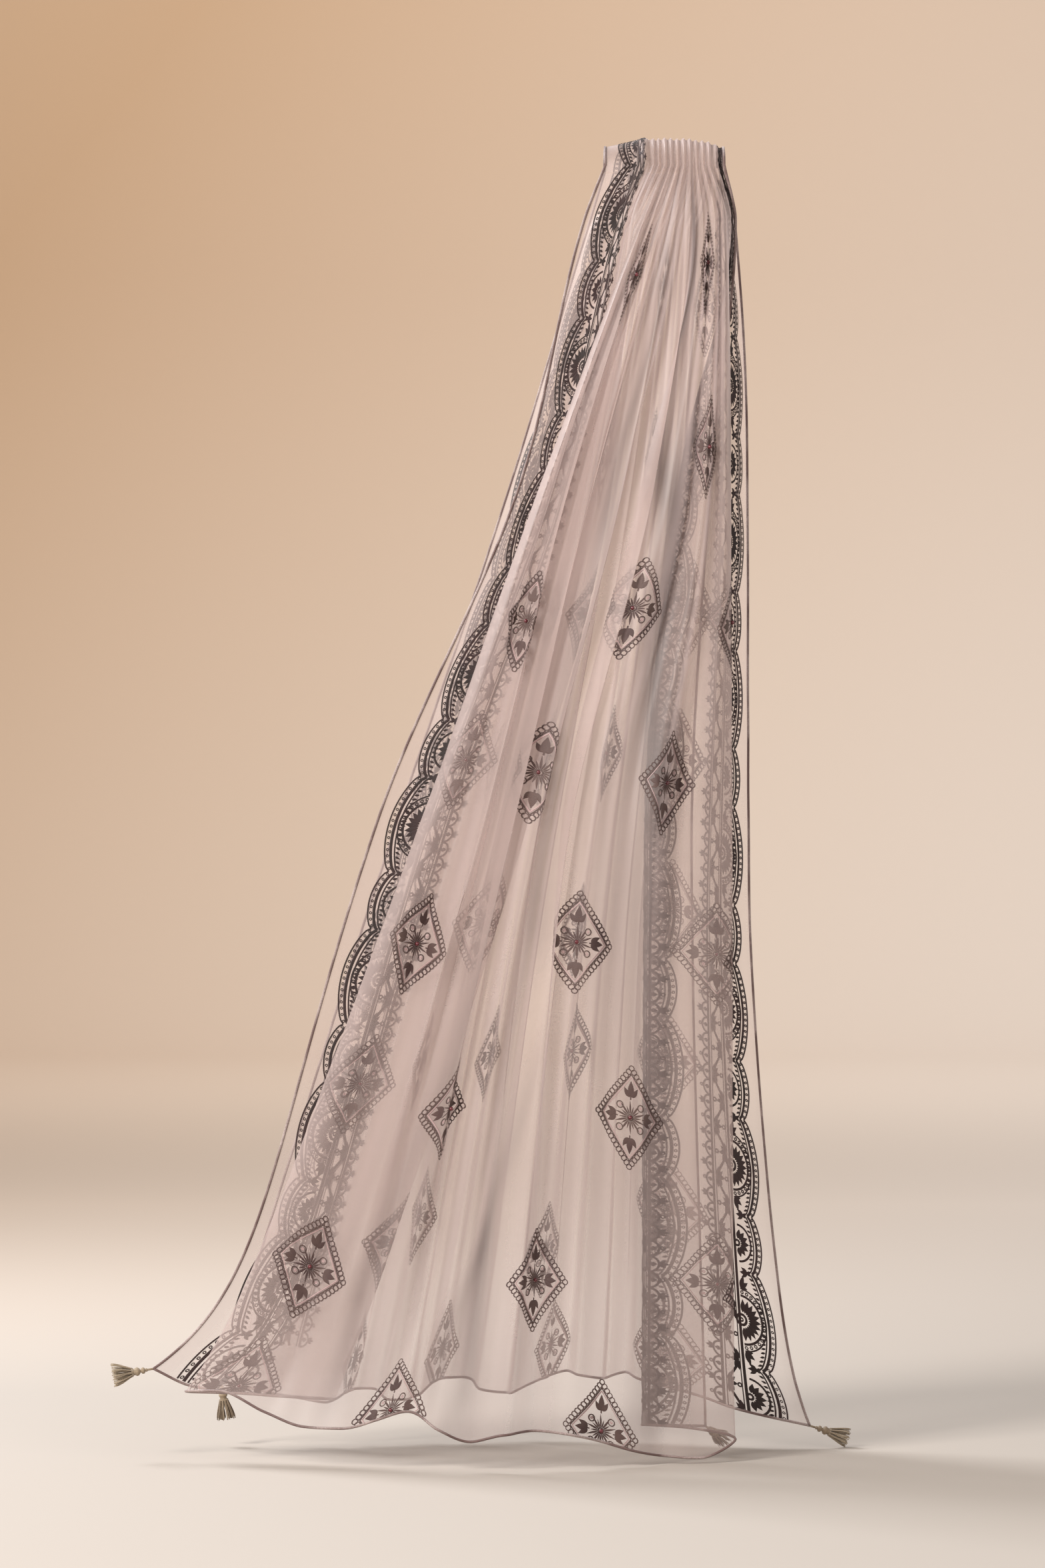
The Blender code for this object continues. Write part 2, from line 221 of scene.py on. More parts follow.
# Sprigs, in millimetres: half the lozenge's width and height, the loops on each of its sides, the
# flower's rays, and the places of the sprigs as across and down
LOZENGE_HALF = (35.0, 47.0)
EDGE_LOOPS = 13
FLOWER_RAYS = 20
FRONT_SPRIGS = (
    (712, 96), (752, 274), (396, 452), (670, 437), (850, 445), (170, 452), (533, 603), (764, 595),
    (275, 600), (372, 776), (672, 761), (152, 761), (872, 770), (486, 934), (736, 919), (268, 925),
    (370, 1097), (638, 1089), (172, 1080), (872, 1091), (492, 1230), (714, 1225), (268, 1228),
    (420, 110),
)
BACK_SPRIGS = (
    (302, 135), (610, 112), (880, 135), (187, 288), (417, 288), (647, 288), (877, 288),
    (302, 440), (610, 440), (880, 440), (187, 592), (417, 592), (647, 592), (877, 592),
    (302, 745), (610, 768), (880, 745), (187, 898), (417, 898), (647, 898), (877, 898),
    (302, 1050), (610, 1097), (880, 1050), (187, 1202), (417, 1202), (647, 1202), (877, 1202),
)

# Bead in the middle of each sprig, left out where the hem cuts a sprig off
BEAD_RADIUS = 2.0 * MM
BEAD_LIFT = 1.3 * MM
BEAD_MARGIN = 4.0 * MM

# Tassels: their gap to the cloth's corner, how deep their threads start, the turns of the cord,
# where each hangs, as its fall, its edge, the way it points and how far it flares, and the outline
# of its turned body, as radius and depth, in millimetres
TASSEL_GAP = 0.4 * MM
SKIRT_TOP = 19.2 * MM
CORD_TURNS = 2.6
TASSEL_TABLE = (
    ("front_left", "front", 0, (-1.0, -0.12, -0.16), 1.55),
    ("back_left", "back", 0, (0.14, 0.05, -1.0), 1.0),
    ("back_right", "back", -1, (0.93, 0.10, -0.30), 1.15),
    ("front_right", "front", -1, (0.45, 0.75, -0.40), 1.0),
)
TASSEL_PROFILE = (
    (0.7, 5.2), (1.5, 5.6), (1.9, 6.4), (1.3, 7.2), (1.6, 7.6), (2.9, 8.4), (3.2, 9.6), (2.8, 10.8),
    (1.7, 11.7), (1.5, 12.2), (2.6, 12.7), (3.9, 14.0), (4.3, 15.4), (3.9, 16.6), (3.1, 17.2),
    (3.4, 17.7), (3.0, 18.1), (3.4, 18.5), (3.1, 18.9), (3.9, 19.4), (4.2, 20.6), (2.6, 21.2),
)


# Settings

class ClothSettings(bpy.types.PropertyGroup):
    """Colours and sheerness of the cloth."""
    colour: FloatVectorProperty(
        name="Cloth colour", description="Colour of one layer of the sheer cloth", subtype="COLOR",
        size=4, min=0.0, max=1.0, default=(0.625, 0.505, 0.472, 1.0),
    )
    shade: FloatVectorProperty(
        name="Slub colour", description="Colour of the thicker threads in the weave",
        subtype="COLOR", size=4, min=0.0, max=1.0, default=(0.565, 0.452, 0.42, 1.0),
    )
    cover: FloatProperty(
        name="Cover", description="Share of the cloth that is thread, seen straight on",
        subtype="FACTOR", min=0.05, max=0.95, default=0.37,
    )
    glow: FloatProperty(
        name="Light let through", description="Share of the thread's light that comes from behind",
        subtype="FACTOR", min=0.0, max=1.0, default=0.45,
    )
    hem: FloatVectorProperty(
        name="Hem colour", description="Colour of the narrow rolled hem", subtype="COLOR",
        size=4, min=0.0, max=1.0, default=(0.17, 0.10, 0.088, 1.0),
    )
    hem_radius: FloatProperty(
        name="Hem radius", description="Radius of the rolled hem", subtype="DISTANCE",
        unit="LENGTH", min=0.0002, max=0.004, default=1.3 * MM,
    )


class ThreadSettings(bpy.types.PropertyGroup):
    """Colours and sizes of the embroidery."""
    dark: FloatVectorProperty(
        name="Dark thread", description="Colour of the main embroidery thread", subtype="COLOR",
        size=4, min=0.0, max=1.0, default=(0.022, 0.010, 0.008, 1.0),
    )
    brown: FloatVectorProperty(
        name="Sprig thread", description="Colour of the sprigs' softer brown thread",
        subtype="COLOR", size=4, min=0.0, max=1.0, default=(0.115, 0.066, 0.055, 1.0),
    )
    wine: FloatVectorProperty(
        name="Wine thread", description="Colour that the dark thread turns to in places",
        subtype="COLOR", size=4, min=0.0, max=1.0, default=(0.045, 0.014, 0.014, 1.0),
    )
    pale: FloatVectorProperty(
        name="Pale thread", description="Colour of the fine pale lines in the sprigs",
        subtype="COLOR", size=4, min=0.0, max=1.0, default=(0.52, 0.34, 0.33, 1.0),
    )
    line: FloatProperty(
        name="Line width", description="Width of a plain line of stitches, in millimetres",
        min=0.3, max=4.0, default=1.5,
    )
    lift: FloatProperty(
        name="Lift", description="How far the thread stands off the cloth", subtype="DISTANCE",
        unit="LENGTH", min=0.0, max=0.002, default=0.45 * MM,
    )


class TasselSettings(bpy.types.PropertyGroup):
    """Threads of the tassels."""
    colour: FloatVectorProperty(
        name="Tassel colour", description="Main colour of the tassel threads", subtype="COLOR",
        size=4, min=0.0, max=1.0, default=(0.29, 0.21, 0.135, 1.0),
    )
    light: FloatVectorProperty(
        name="Light threads", description="Colour of the lighter tassel threads", subtype="COLOR",
        size=4, min=0.0, max=1.0, default=(0.50, 0.40, 0.27, 1.0),
    )
    strands: IntProperty(
        name="Threads", description="Number of threads in each tassel", min=12, max=200, default=130,
    )
    length: FloatProperty(
        name="Thread length", description="Length of the tassel's threads", subtype="DISTANCE",
        unit="LENGTH", min=0.005, max=0.05, default=19 * MM,
    )


class StageSettings(bpy.types.PropertyGroup):
    """Backdrop, camera and lights."""
    # The two backdrop colours carry painted light and shade: darker at the upper left, paler at the lower
    # right
    backdrop: FloatVectorProperty(
        name="Backdrop colour", description="Colour of the backdrop at its upper left", subtype="COLOR",
        size=4, min=0.0, max=1.0, default=(0.575, 0.395, 0.252, 1.0),
    )
    backdrop_painted_light: FloatVectorProperty(
        name="Pale backdrop", description="Colour of the backdrop at its lower right",
        subtype="COLOR", size=4, min=0.0, max=1.0, default=(0.83, 0.745, 0.675, 1.0),
    )
    floor: FloatVectorProperty(
        name="Floor colour", description="Colour of the floor", subtype="COLOR",
        size=4, min=0.0, max=1.0, default=(0.43, 0.38, 0.335, 1.0),
    )
    distance: FloatProperty(
        name="Camera distance", description="Distance from the camera to the stole",
        subtype="DISTANCE", unit="LENGTH", min=1.0, max=20.0, default=5.8,
    )
    key: FloatProperty(
        name="Main light", description="Power of the main soft light", subtype="POWER",
        unit="POWER", min=0.0, max=2000.0, default=220.0,
    )


# Form of the cloth

FOLDS = dict(zip(FOLD_COLUMNS, np.array(FOLD_TABLE, float).T))
ACROSS = FOLDS["across"] * MM
OUTWARD = np.where(np.arange(len(ACROSS)) % 2 == 0, 1.0, -1.0)
TOP = FOLDS["forward"] >= TOP_LAYER
INNER = (ACROSS > EDGE_FLAT) & (ACROSS < ACROSS[-1] - EDGE_FLAT)
HAND_WAVE = (1 + np.sin(HAND_STEP * np.arange(len(ACROSS)))) / 2


def smooth(places, values, at):
    """Reads a smooth curve through the values that never swings past them."""
    places = np.asarray(places, float)
    values = np.asarray(values, float)
    run = np.diff(places).reshape((-1,) + (1,) * (values.ndim - 1))
    rise = np.diff(values, axis=0) / run
    slope = np.empty_like(values)
    slope[0] = rise[0]
    slope[-1] = rise[-1]
    before, after = rise[:-1], rise[1:]
    near, far = 2 * run[1:] + run[:-1], run[1:] + 2 * run[:-1]
    same = before * after > 0
    safe_before = np.where(same, before, 1.0)
    safe_after = np.where(same, after, 1.0)
    mean = (near + far) / (near / safe_before + far / safe_after)
    slope[1:-1] = np.where(same, mean, 0.0)
    at = np.atleast_1d(np.asarray(at, float))
    k = np.clip(np.searchsorted(places, at, side="right") - 1, 0, len(places) - 2)
    shape = (-1,) + (1,) * (values.ndim - 1)
    step = (places[k + 1] - places[k]).reshape(shape)
    s = (at - places[k]).reshape(shape) / step
    start = (1 + 2 * s) * (1 - s) ** 2 * values[k] + s * (1 - s) ** 2 * step * slope[k]
    end = s * s * (3 - 2 * s) * values[k + 1] + s * s * (s - 1) * step * slope[k + 1]
    return start + end


def level(values, t):
    """Reads values that the stations have, in millimetres, at one level of a fall."""
    return smooth(STATIONS, values, t)[0] * MM


def pleat_depth(x, cap, t):
    """How deep each crease stands, from the cloth's width between creases and the room it has."""
    width = np.diff(ACROSS) * CREASE_SHARE
    leg = np.sqrt(np.maximum(width ** 2 - np.diff(x) ** 2, 0.0))
    both = np.concatenate(([leg[0]], (leg[:-1] + leg[1:]) / 2, [leg[-1]]))
    wave = np.sin(UNEVEN_STEP * np.arange(len(x)) + UNEVEN_DRIFT * t)
    room = cap * (1 - t * UNEVEN * (1 + wave) / 2)
    return np.clip(both, np.minimum(LEAST_PLEAT, room), room)


def leaning(x, t):
    """Places of the back fall's creases once each fold leans to one side, some more than others."""
    lean = smooth(STATIONS, LEAN, t)[0] * (1 + LEAN_CHANGE * np.sin(LEAN_STEP * np.arange(len(x))))
    return x + OUTWARD * INNER * lean * np.gradient(x)


def bow(x, t):
    """How far a fall bows out from the support at each of its places, the same for all layers."""
    middle, half = (x.max() + x.min()) / 2, (x.max() - x.min()) / 2
    side = (x - middle) / half
    swing = np.sin(math.pi * SWING_TURNS * side + SWING_START)
    return BOW * t * (1 - side ** 2) ** 2 + SWING * t * t * swing


def front_creases(t):
    """Places of all creases of the front fall at one level."""
    track = np.array([FOLDS[name] for name in ("hand", "neck", "upper", "knee", "hem")])
    x = level(track, t) + FOLDS["pull"] * MM * t ** PULL_SHARPNESS
    uneven = NECK_UNEVEN * HAND_WAVE * max(1 - t / NECK_END, 0)
    cap = np.where(TOP, level(FRONT_PLEAT, t), level(HIDDEN_PLEAT, t)) * (1 - uneven)
    y = -level(FRONT_CENTRE, t) - FOLDS["forward"] * level(LAYER_GAP, t) - bow(x, t)
    y -= OUTWARD * pleat_depth(x, cap, t) / 2
    z = FALL_TOP + (-FOLDS["drop"] * MM - FALL_TOP) * t
    return np.stack([x, y, z], axis=1)


def back_creases(t):
    """Places of all creases of the back fall at one level."""
    left, right = level(BACK_LEFT, t), level(BACK_RIGHT, t)
    opened = min(t / STATIONS[1], 1.0)
    hand = FOLDS["hand"] - FOLDS["hand"][0]
    share = hand / hand[-1] * (1 - opened) + FOLDS["share"] * opened
    drawn = np.clip(1 - (1 - share) / BACK_PULL_WIDTH, 0.0, 1.0)
    x = left + (right - left) * share + BACK_PULL * drawn * t ** PULL_SHARPNESS
    x = leaning(x, t)
    cap = np.full(len(x), level(BACK_PLEAT, t))
    y = level(BACK_CENTRE, t) + OUTWARD * pleat_depth(x, cap, t) / 2 + bow(x, t)
    z = FALL_TOP + (-FOLDS["back_drop"] * MM - FALL_TOP) * t
    return np.stack([x, y, z], axis=1)


def arch_creases(t):
    """Places of all creases where the cloth passes over the support, from the front to the back."""
    turn = math.pi * (t - 0.5)
    normal = Vector((math.sin(turn) / ARCH_HALF, math.cos(turn) / ARCH_RISE)).normalized()
    over = math.sin(math.pi * t)
    hand = FOLDS["hand"] * MM
    middle, half = (hand[0] + hand[-1]) / 2, (hand[-1] - hand[0]) / 2
    crushed = 1 - (NECK_UNEVEN + (HAND_UNEVEN - NECK_UNEVEN) * over) * HAND_WAVE
    out = OUTWARD * HAND_PLEAT / 2 * crushed * (1 - HAND_SOFT * over)
    y = ARCH_HALF * math.sin(turn) + out * normal.x
    z = SEAM_Z + ARCH_RISE * math.cos(turn) + out * normal.y
    z -= HAND_SAG * over * np.abs((hand - middle) / half) ** SAG_SHARPNESS
    return np.stack([hand, y, z], axis=1)


def unit(vectors):
    """Vectors brought to length one."""
    return vectors / np.maximum(np.linalg.norm(vectors, axis=-1, keepdims=True), 1e-12)


def facing_out(points, turn):
    """Which way the cloth's right side faces at each point of its grid."""
    along_width = np.gradient(points, axis=1)
    along_length = np.gradient(points, axis=0)
    return unit(turn * np.cross(along_width, along_length))


def soft_lines(table, fall, across, down):
    """Adds up the soft-edged lines of a table over the whole grid; each wanders and fades out."""
    total = np.zeros((len(down), len(across)))
    for k, row in enumerate(table[fall]):
        line = dict(zip(LINE_COLUMNS, row))
        run = line["to_down"] - line["from_down"]
        s = (down / MM - line["from_down"]) / run
        place = line["from_across"] + (line["to_across"] - line["from_across"]) * s
        place += LINE_WANDER * np.sin(LINE_TURNS * s + LINE_SHIFT * k)
        fade = np.clip(s / LINE_FADE, 0, 1) * np.clip((LINE_END - s) / LINE_FADE, 0, 1)
        fade = fade * fade * (3 - 2 * fade)
        away = (across[None, :] / MM - place[:, None]) / line["width"]
        total += line["peak"] * fade[:, None] * np.exp(-away ** 2)
    return total


def crease_height(fall, across, down):
    """Height of the listed soft ridges and troughs, over the whole grid."""
    total = soft_lines(CREASES, fall, across, down) * MM
    a, d = np.meshgrid(across / MM, down / MM)
    crumple = np.sin(0.093 * a + 0.021 * d + 2.1 * np.sin(0.011 * d)) * np.sin(0.017 * d + 0.031 * a)
    crumple += 0.6 * np.sin(0.19 * a - 0.013 * d) * np.sin(0.029 * d + 1.3)
    return total + CRUMPLE_HEIGHT * MM * crumple * np.clip(d / CRUMPLE_START, 0, 1)


def cloth_form(fall):
    """The form of one half of the cloth: its grid of points, where they are on the flat cloth, and
    which way its right side faces."""
    across = smooth(np.arange(len(ACROSS)), ACROSS, np.linspace(0, len(ACROSS) - 1, ACROSS_STEPS + 1))
    steps = np.linspace(0.0, 1.0, FALL_STEPS + 1)
    down = steps * FALL_LENGTH
    if fall == "front":
        turn, creases = -1.0, front_creases
        over = np.linspace(1.0, 0.0, ARCH_STEPS + 1)
        rows = [arch_creases(t) for t in over] + [creases(t) for t in steps]
        down = np.concatenate((-over * ARCH_LENGTH - SEAM_GAP, down))
    else:
        turn, creases = 1.0, back_creases
        rows = [creases(t) for t in steps]
    points = np.array([smooth(ACROSS, row, across) for row in rows])
    out = facing_out(points, turn)
    points = points + out * crease_height(fall, across, down)[:, :, None]
    return {"points": points, "out": facing_out(points, turn), "across": across, "down": down,
            "turn": turn}


def lay(form, flat):
    """Lays points of the flat cloth, with their height over it, on the cloth's form."""
    row = np.interp(flat[:, 1], form["down"], np.arange(len(form["down"])))
    column = np.interp(flat[:, 0], form["across"], np.arange(len(form["across"])))
    i = np.clip(row.astype(int), 0, len(form["down"]) - 2)
    j = np.clip(column.astype(int), 0, len(form["across"]) - 2)
    a, b = (row - i)[:, None], (column - j)[:, None]
    placed = []
    for grid in (form["points"], form["out"]):
        near = grid[i, j] * (1 - b) + grid[i, j + 1] * b
        far = grid[i + 1, j] * (1 - b) + grid[i + 1, j + 1] * b
        placed.append(near * (1 - a) + far * a)
    return placed[0] + unit(placed[1]) * flat[:, 2:3]


# Meshes and materials

FORMS = {}


def form_of(fall):
    """The form of one half of the cloth, worked out once."""
    if fall not in FORMS:
        FORMS[fall] = cloth_form(fall)
    return FORMS[fall]


def mesh_of(bm, name):
    """Makes a smooth mesh of a finished bmesh."""
    for face in bm.faces:
        face.smooth = True
    mesh = bpy.data.meshes.new(name)
    bm.to_mesh(mesh)
    bm.free()
    return mesh


def put_in_scene(name, data):
    """Makes an object of finished data and links it to the scene."""
    thing = bpy.data.objects.new(name, data)
    bpy.context.scene.collection.objects.link(thing)
    return thing


def piece_of(name, mesh, materials):
    """Makes a piece of a finished mesh, with its finishes, and lets it ride on the frame."""
    for material in materials:
        mesh.materials.append(material)
    piece = put_in_scene(name, mesh)
    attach(piece, BODY)
    return piece


def new_material(name):
    """A named material, its empty node tree and its output."""
    material = bpy.data.materials.new(name)
    material.use_nodes = True
    tree = material.node_tree
    tree.nodes.clear()
    return material, tree, tree.nodes.new("ShaderNodeOutputMaterial")


def add_node(tree, kind, settings=None, **sockets):
    """Adds one node, sets its own settings and gives each named socket a value or a link."""
    node = tree.nodes.new("ShaderNode" + kind)
    for key, value in (settings or {}).items():
        setattr(node, key, value)
    for key, value in sockets.items():
        socket = node.inputs[int(key[1:])] if key[0] == "_" else node.inputs[key.replace("_", " ")]
        if isinstance(value, bpy.types.NodeSocket):
            tree.links.new(value, socket)
        else:
            socket.default_value = value
    return node


def noise(tree, source, scale, stretch, detail=2.0):
    """Noise over a coordinate, stretched along its axes."""
    placed = add_node(tree, "Mapping", Vector=source, Scale=stretch)
    made = add_node(tree, "TexNoise", Vector=placed.outputs[0], Scale=scale, Detail=detail)
    return made.outputs["Fac"]


def math_node(tree, operation, first, second, clamp=False):
    """One step of arithmetic."""
    made = add_node(tree, "Math", {"operation": operation, "use_clamp": clamp},
                    _0=first, _1=second)
    return made.outputs[0]


def departure(tree, value, middle, factor):
    """How far a value is from its middle, times a factor."""
    return math_node(tree, "MULTIPLY", math_node(tree, "SUBTRACT", value, middle), factor)


def mix_colour(tree, share, first, second):
    """Two colours mixed by a share."""
    made = add_node(tree, "Mix", {"data_type": "RGBA"}, _0=share, _6=first, _7=second)
    return made.outputs[2]


def organza_material(settings):
    """Sheer plain weave: clear between its threads, denser edge on and towards the support. Its colour
    has painted shade in the deep folds, where it is denser too, and painted light on the broad ridges;
    soft streaks of painted shade and light run down it."""
    material, tree, output = new_material("organza_weave")
    flat = add_node(tree, "UVMap", {"uv_map": "flat"}).outputs[0]
    warp = noise(tree, flat, 1.0, (900.0, 14.0, 1.0))
    weft = noise(tree, flat, 1.0, (16.0, 760.0, 1.0))
    weave = math_node(tree, "ADD", warp, weft)
    cloud = noise(tree, flat, 1.0, (7.0, 5.0, 1.0), 3.0)
    share = math_node(tree, "MULTIPLY", weave, 0.5)
    thread = mix_colour(tree, share, tuple(settings.colour), tuple(settings.shade))
    # Broad soft streaks down the cloth of painted shade and painted light, in place of broad folds
    painted_light_and_shade_streak = noise(tree, flat, 1.0, (22.0, 1.2, 1.0), 1.0)
    painted_light_and_shade_streak = departure(tree, painted_light_and_shade_streak, 0.5, 1.1)
    # Painted shade in the deep folds from the shade attribute, and painted light on broad ridges below
    # zero
    depth = add_node(tree, "Attribute", {"attribute_name": "shade"}).outputs["Fac"]
    depth = math_node(tree, "ADD", depth, painted_light_and_shade_streak)
    # The painted shade darkens the cloth's colour and the painted light brightens it
    painted_light_and_shade_scale = math_node(tree, "SUBTRACT", 1.0, math_node(tree, "MULTIPLY", depth, 0.72))
    thread = add_node(tree, "VectorMath", {"operation": "SCALE"}, _0=thread, Scale=painted_light_and_shade_scale)
    thread = thread.outputs[0]
    bump = add_node(tree, "Bump", Strength=0.06, Distance=0.0004, Height=weave)
    body = add_node(tree, "BsdfPrincipled", Base_Color=thread, Roughness=0.42,
                    Sheen_Weight=0.8, Sheen_Roughness=0.3, Normal=bump.outputs[0])
    body.inputs["Sheen Tint"].default_value = (1.0, 0.9, 0.88, 1.0)
    body.inputs["Specular IOR Level"].default_value = 0.6
    through = add_node(tree, "BsdfTranslucent", Color=thread)
    lit = add_node(tree, "MixShader", _0=settings.glow, _1=body.outputs[0],
                   _2=through.outputs[0])
    edge = add_node(tree, "LayerWeight", Blend=0.5).outputs["Facing"]
    rise = math_node(tree, "POWER", edge, 2.2)
    rise = math_node(tree, "MULTIPLY", rise, 1 - settings.cover)
    slub = departure(tree, weave, 1.0, 0.04)
    drift = departure(tree, cloud, 0.5, 0.06)
    # The painted shade also makes the cloth denser, and the painted light makes it clearer
    fold = math_node(tree, "MULTIPLY", depth, 0.5)
    rise = math_node(tree, "ADD", rise, fold)
    down = add_node(tree, "SeparateXYZ", Vector=flat).outputs["Y"]
    upper = add_node(tree, "MapRange", Value=down, From_Min=0.9, From_Max=0.1, To_Max=0.12)
    rise = math_node(tree, "ADD", rise, upper.outputs[0])
    cover = math_node(tree, "ADD", rise, math_node(tree, "ADD", slub, drift))
    cover = math_node(tree, "ADD", cover, settings.cover, clamp=True)
    clear = add_node(tree, "BsdfTransparent")
    sheer = add_node(tree, "MixShader", _0=cover, _1=clear.outputs[0], _2=lit.outputs[0])
    tree.links.new(sheer.outputs[0], output.inputs["Surface"])
    return material


def thread_material(name, colour, other, roughness, sheen):
    """Stranded thread: two close colours, a fine ply in its bump and a soft sheen."""
    material, tree, output = new_material(name)
    place = add_node(tree, "TexCoord").outputs["Object"]
    patch = noise(tree, place, 1.0, (24.0, 24.0, 24.0), 3.0)
    fine = noise(tree, place, 1.0, (900.0, 900.0, 900.0), 2.0)
    share = add_node(tree, "MapRange", Value=patch, From_Min=0.42, From_Max=0.62).outputs[0]
    tone = mix_colour(tree, share, tuple(colour), tuple(other))
    dark = tuple(c * 0.55 for c in tuple(colour)[:3]) + (1.0,)
    tone = mix_colour(tree, fine, tone, dark)
    bump = add_node(tree, "Bump", Strength=0.5, Distance=0.0005, Height=fine)
    body = add_node(tree, "BsdfPrincipled", Base_Color=tone, Roughness=roughness,
                    Sheen_Weight=sheen, Sheen_Roughness=0.4, Normal=bump.outputs[0])
    tree.links.new(body.outputs[0], output.inputs["Surface"])
    return material


def bead_material():
    """Polished dark wine glass bead."""
    material, tree, output = new_material("wine_bead")
    place = add_node(tree, "TexCoord").outputs["Object"]
    patch = noise(tree, place, 1.0, (300.0, 300.0, 300.0))
    tone = mix_colour(tree, patch, (0.16, 0.012, 0.02, 1.0), (0.05, 0.006, 0.01, 1.0))
    body = add_node(tree, "BsdfPrincipled", Base_Color=tone, Roughness=0.12)
    body.inputs["Coat Weight"].default_value = 0.6
    tree.links.new(body.outputs[0], output.inputs["Surface"])
    return material


def laid_mesh(bm, name, form):
    """Trims flat work to the cloth, lays it on the cloth's form and faces it outwards."""
    for edge, way in ((form["down"][0], -1.0), (form["down"][-1] - HEM_MARGIN, 1.0)):
        bmesh.ops.bisect_plane(
            bm, geom=bm.verts[:] + bm.edges[:] + bm.faces[:], plane_co=(0, edge, 0),
            plane_no=(0, way, 0), clear_outer=True,
        )
    if form["turn"] < 0:
        bmesh.ops.reverse_faces(bm, faces=bm.faces)
    mesh = mesh_of(bm, name)
    flat = np.empty(len(mesh.vertices) * 3)
    mesh.vertices.foreach_get("co", flat)
    mesh.vertices.foreach_set("co", lay(form, flat.reshape(-1, 3)).ravel())
    mesh.update()
    return mesh


def grid_step(place, steps):
    """Which step of a flat grid a vertex is on, from its place along the grid's side."""
    return np.rint((place / GRID_HALF + 1) / 2 * steps).astype(int)


def wrap_tube(bm, path, radii, sides, up):
    """Wraps a grid round a path as a tube, and closes its seam."""
    path = np.asarray(path, float)
    radii = np.broadcast_to(np.asarray(radii, float), (len(path),))
    made = bmesh.ops.create_grid(bm, x_segments=len(path) - 1, y_segments=sides, size=GRID_HALF)
    forward = unit(np.gradient(path, axis=0))
    side = unit(np.cross(forward, up))
    lift = np.cross(side, forward)
    for vert in made["verts"]:
        i = grid_step(vert.co.x, len(path) - 1)
        angle = math.pi * (vert.co.y / GRID_HALF + 1)
        vert.co = path[i] + radii[i] * (math.cos(angle) * side[i] + math.sin(angle) * lift[i])
    bmesh.ops.remove_doubles(bm, verts=made["verts"], dist=0.001 * MM)


def close_ends(bm):
    """Closes every open end and turns the faces outwards."""
    bmesh.ops.holes_fill(bm, edges=[e for e in bm.edges if e.is_boundary], sides=0)
    bmesh.ops.recalc_face_normals(bm, faces=bm.faces)


# Embroidery on the flat cloth. All paths are in millimetres: across the cloth, then down it.

DARK, PALE = 0, 1


def stroke(bm, path, width, thread=DARK, round_over=True):
    """One run of stitches: a narrow strip along a path, higher along its middle."""
    look = bpy.context.scene.stole_thread
    path = np.asarray(path, float)
    width = np.broadcast_to(np.asarray(width, float), (len(path),))
    ribs = 2 if round_over else 1
    made = bmesh.ops.create_grid(bm, x_segments=len(path) - 1, y_segments=ribs, size=GRID_HALF)
    forward = unit(np.gradient(path, axis=0))
    low = look.lift * 0.35
    for vert in made["verts"]:
        i = grid_step(vert.co.x, len(path) - 1)
        side = vert.co.y / GRID_HALF
        x = path[i, 0] - forward[i, 1] * side * width[i] / 2
        y = path[i, 1] + forward[i, 0] * side * width[i] / 2
        high = look.lift if abs(side) < 0.5 or not round_over else low
        vert.co = (x * MM, y * MM, high)
    for face in {f for v in made["verts"] for f in v.link_faces}:
        face.material_index = thread


def line_path(start, end, steps):
    """A straight path."""
    return np.linspace(start, end, steps + 1)


def heading(angle):
    """The way that an angle points, in degrees from the down direction towards across."""
    turn = math.radians(angle)
    return np.array([math.sin(turn), math.cos(turn)])


def arc_path(centre, radius, start, end, steps, squeeze=1.0):
    """An arc, by angles in degrees from the down direction towards across."""
    angle = np.radians(np.linspace(start, end, steps + 1))
    return np.stack([centre[0] + radius * np.sin(angle) * squeeze,
                     centre[1] + radius * np.cos(angle)], axis=1)


def ring(bm, centre, radius, width, steps=12, thread=DARK):
    """A small ring of stitches."""
    stroke(bm, arc_path(centre, radius, 0, 360, steps), width, thread, False)


def leaf(bm, base, angle, length, width, bend=0.0, steps=6):
    """A filled leaf from its base, pointing along an angle, bent sideways by a share of its length."""
    s = np.linspace(0, 1, steps + 1)
    way = heading(angle)
    across = np.array([way[1], -way[0]])
    path = np.asarray(base) + np.outer(s * length, way) + np.outer(bend * length * s * s, across)
    stroke(bm, path, width * np.maximum(np.sin(math.pi * s ** 0.8), 0.06))


def show_through(bm):
    """Adds the back of the stitches, as the needle takes the thread through the sheer cloth."""
    made = bmesh.ops.duplicate(bm, geom=bm.verts[:] + bm.edges[:] + bm.faces[:])["geom"]
    bmesh.ops.scale(bm, vec=(1, 1, -1), verts=[g for g in made if isinstance(g, bmesh.types.BMVert)])
    bmesh.ops.reverse_faces(bm, faces=[g for g in made if isinstance(g, bmesh.types.BMFace)])


